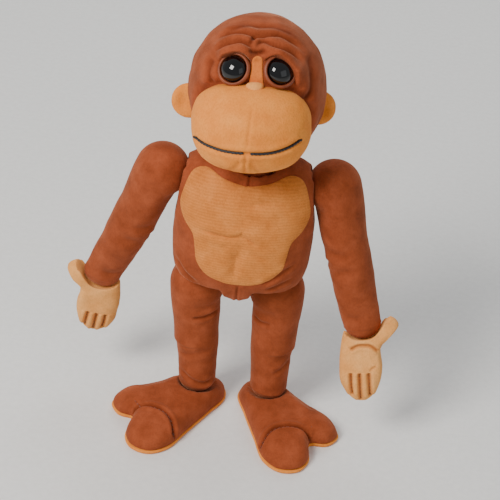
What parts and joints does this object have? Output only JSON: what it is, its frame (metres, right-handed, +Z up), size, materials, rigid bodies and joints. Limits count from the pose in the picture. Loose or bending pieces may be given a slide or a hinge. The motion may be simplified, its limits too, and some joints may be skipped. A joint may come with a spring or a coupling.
{
  "type": "stuffed toy ape",
  "caption": "Stuffed plush ape toy, standing with its arms hanging: round head, big pale muzzle, chest patch, mitten hands and wide feet. Its limbs and head can be posed.",
  "frame": {"origin": "on the floor, under the middle of the toy's bounding box", "axes": "+Z up, -Y the way the toy faces, +X the toy's own left"},
  "size_m": [0.2296, 0.1168, 0.3012],
  "materials": {
    "rust_plush": "matte",
    "tan_plush": "matte",
    "pale_plush": "matte",
    "fibre_filling": "matte",
    "black_thread": "matte",
    "eye_black": "gloss",
    "eye_rim": "gloss",
    "washer": "matte"
  },
  "bodies": {
    "torso": {"torso_cover": "rust_plush", "torso_filling": "fibre_filling", "chest_patch": "tan_plush"},
    "neck": {"neck_filling": "fibre_filling"},
    "head": {"head_cover": "rust_plush", "muzzle_cover": "tan_plush", "nose_bridge": "tan_plush", "nose": "tan_plush", "head_filling": "fibre_filling", "left_eye": "eye_black", "left_iris": "eye_rim", "left_eye_washer": "washer", "left_ear": "tan_plush", "left_mouth_stitch": "black_thread", "right_eye": "eye_black", "right_iris": "eye_rim", "right_eye_washer": "washer", "right_ear": "tan_plush", "right_mouth_stitch": "black_thread"},
    "left_shoulder": {"left_shoulder_filling": "fibre_filling"},
    "left_upper_arm": {"left_upper_sleeve": "rust_plush", "left_upper_arm_filling": "fibre_filling"},
    "left_forearm": {"left_lower_sleeve": "rust_plush", "left_forearm_filling": "fibre_filling"},
    "left_hand": {"left_palm": "pale_plush", "left_hand_back": "pale_plush", "left_hand_filling": "fibre_filling"},
    "left_hip": {"left_hip_filling": "fibre_filling"},
    "left_thigh": {"left_thigh_cover": "rust_plush", "left_thigh_filling": "fibre_filling"},
    "left_shin": {"left_shin_cover": "rust_plush", "left_shin_filling": "fibre_filling"},
    "left_foot": {"left_foot_top": "rust_plush", "left_sole": "tan_plush", "left_foot_filling": "fibre_filling"},
    "right_shoulder": {"right_shoulder_filling": "fibre_filling"},
    "right_upper_arm": {"right_upper_sleeve": "rust_plush", "right_upper_arm_filling": "fibre_filling"},
    "right_forearm": {"right_lower_sleeve": "rust_plush", "right_forearm_filling": "fibre_filling"},
    "right_hand": {"right_palm": "pale_plush", "right_hand_back": "pale_plush", "right_hand_filling": "fibre_filling"},
    "right_hip": {"right_hip_filling": "fibre_filling"},
    "right_thigh": {"right_thigh_cover": "rust_plush", "right_thigh_filling": "fibre_filling"},
    "right_shin": {"right_shin_cover": "rust_plush", "right_shin_filling": "fibre_filling"},
    "right_foot": {"right_foot_top": "rust_plush", "right_sole": "tan_plush", "right_foot_filling": "fibre_filling"}
  },
  "joints": [
    {"name": "neck_turn", "type": "hinge", "parent": "torso", "child": "neck", "pos_m": [0.00585, 0.00816, 0.205], "axis": [0, 0, 1], "range_deg": [-30, 30]},
    {"name": "head_nod", "type": "hinge", "parent": "neck", "child": "head", "pos_m": [0.00585, 0.00816, 0.205], "axis": [1, 0, 0], "range_deg": [-10, 20]},
    {"name": "left_shoulder_swing", "type": "hinge", "parent": "torso", "child": "left_shoulder", "pos_m": [0.05935, 0.01016, 0.19], "axis": [-1, 0, 0], "range_deg": [-60, 100]},
    {"name": "left_shoulder_raise", "type": "hinge", "parent": "left_shoulder", "child": "left_upper_arm", "pos_m": [0.05935, 0.01016, 0.19], "axis": [0, -0.9925, 0.1219], "range_deg": [-5, 80]},
    {"name": "left_elbow_bend", "type": "hinge", "parent": "left_upper_arm", "child": "left_forearm", "pos_m": [0.07455, 0.00409, 0.14064], "axis": [-0.9563, -0.0356, -0.2902], "range_deg": [-20, 50]},
    {"name": "left_wrist_bend", "type": "hinge", "parent": "left_forearm", "child": "left_hand", "pos_m": [0.08917, -0.00173, 0.09318], "axis": [-0.9977, 0.0485, -0.0466], "range_deg": [-45, 45]},
    {"name": "left_hip_swing", "type": "hinge", "parent": "torso", "child": "left_hip", "pos_m": [0.03035, 0.01016, 0.103], "axis": [-1, 0, 0], "range_deg": [-25, 85]},
    {"name": "left_hip_spread", "type": "hinge", "parent": "left_hip", "child": "left_thigh", "pos_m": [0.03035, 0.01016, 0.103], "axis": [0, -1, 0], "range_deg": [0, 25]},
    {"name": "left_knee_bend", "type": "hinge", "parent": "left_thigh", "child": "left_shin", "pos_m": [0.03105, 0.01016, 0.06301], "axis": [0.9998, 0, 0.0175], "range_deg": [0, 50]},
    {"name": "left_ankle_bend", "type": "hinge", "parent": "left_shin", "child": "left_foot", "pos_m": [0.03175, 0.01016, 0.02301], "axis": [1, 0, 0], "range_deg": [-20, 20]},
    {"name": "right_shoulder_swing", "type": "hinge", "parent": "torso", "child": "right_shoulder", "pos_m": [-0.05265, 0.01016, 0.19], "axis": [-1, 0, 0], "range_deg": [-60, 100]},
    {"name": "right_shoulder_raise", "type": "hinge", "parent": "right_shoulder", "child": "right_upper_arm", "pos_m": [-0.05265, 0.01016, 0.19], "axis": [0, 0.9925, 0.1219], "range_deg": [-9, 80]},
    {"name": "right_elbow_bend", "type": "hinge", "parent": "right_upper_arm", "child": "right_forearm", "pos_m": [-0.07128, 0.01607, 0.14182], "axis": [-0.9336, -0.0437, 0.3557], "range_deg": [-20, 50]},
    {"name": "right_wrist_bend", "type": "hinge", "parent": "right_forearm", "child": "right_hand", "pos_m": [-0.0892, 0.02176, 0.09549], "axis": [-0.9994, -0.0043, 0.0346], "range_deg": [-45, 45]},
    {"name": "right_hip_swing", "type": "hinge", "parent": "torso", "child": "right_hip", "pos_m": [-0.02365, 0.01016, 0.103], "axis": [-1, 0, 0], "range_deg": [-25, 85]},
    {"name": "right_hip_spread", "type": "hinge", "parent": "right_hip", "child": "right_thigh", "pos_m": [-0.02365, 0.01016, 0.103], "axis": [0, 1, 0], "range_deg": [0, 25]},
    {"name": "right_knee_bend", "type": "hinge", "parent": "right_thigh", "child": "right_shin", "pos_m": [-0.02121, 0.01016, 0.06308], "axis": [0.9981, 0, 0.061], "range_deg": [0, 50]},
    {"name": "right_ankle_bend", "type": "hinge", "parent": "right_shin", "child": "right_foot", "pos_m": [-0.01876, 0.01016, 0.02315], "axis": [1, 0, 0], "range_deg": [-20, 20]}
  ]
}
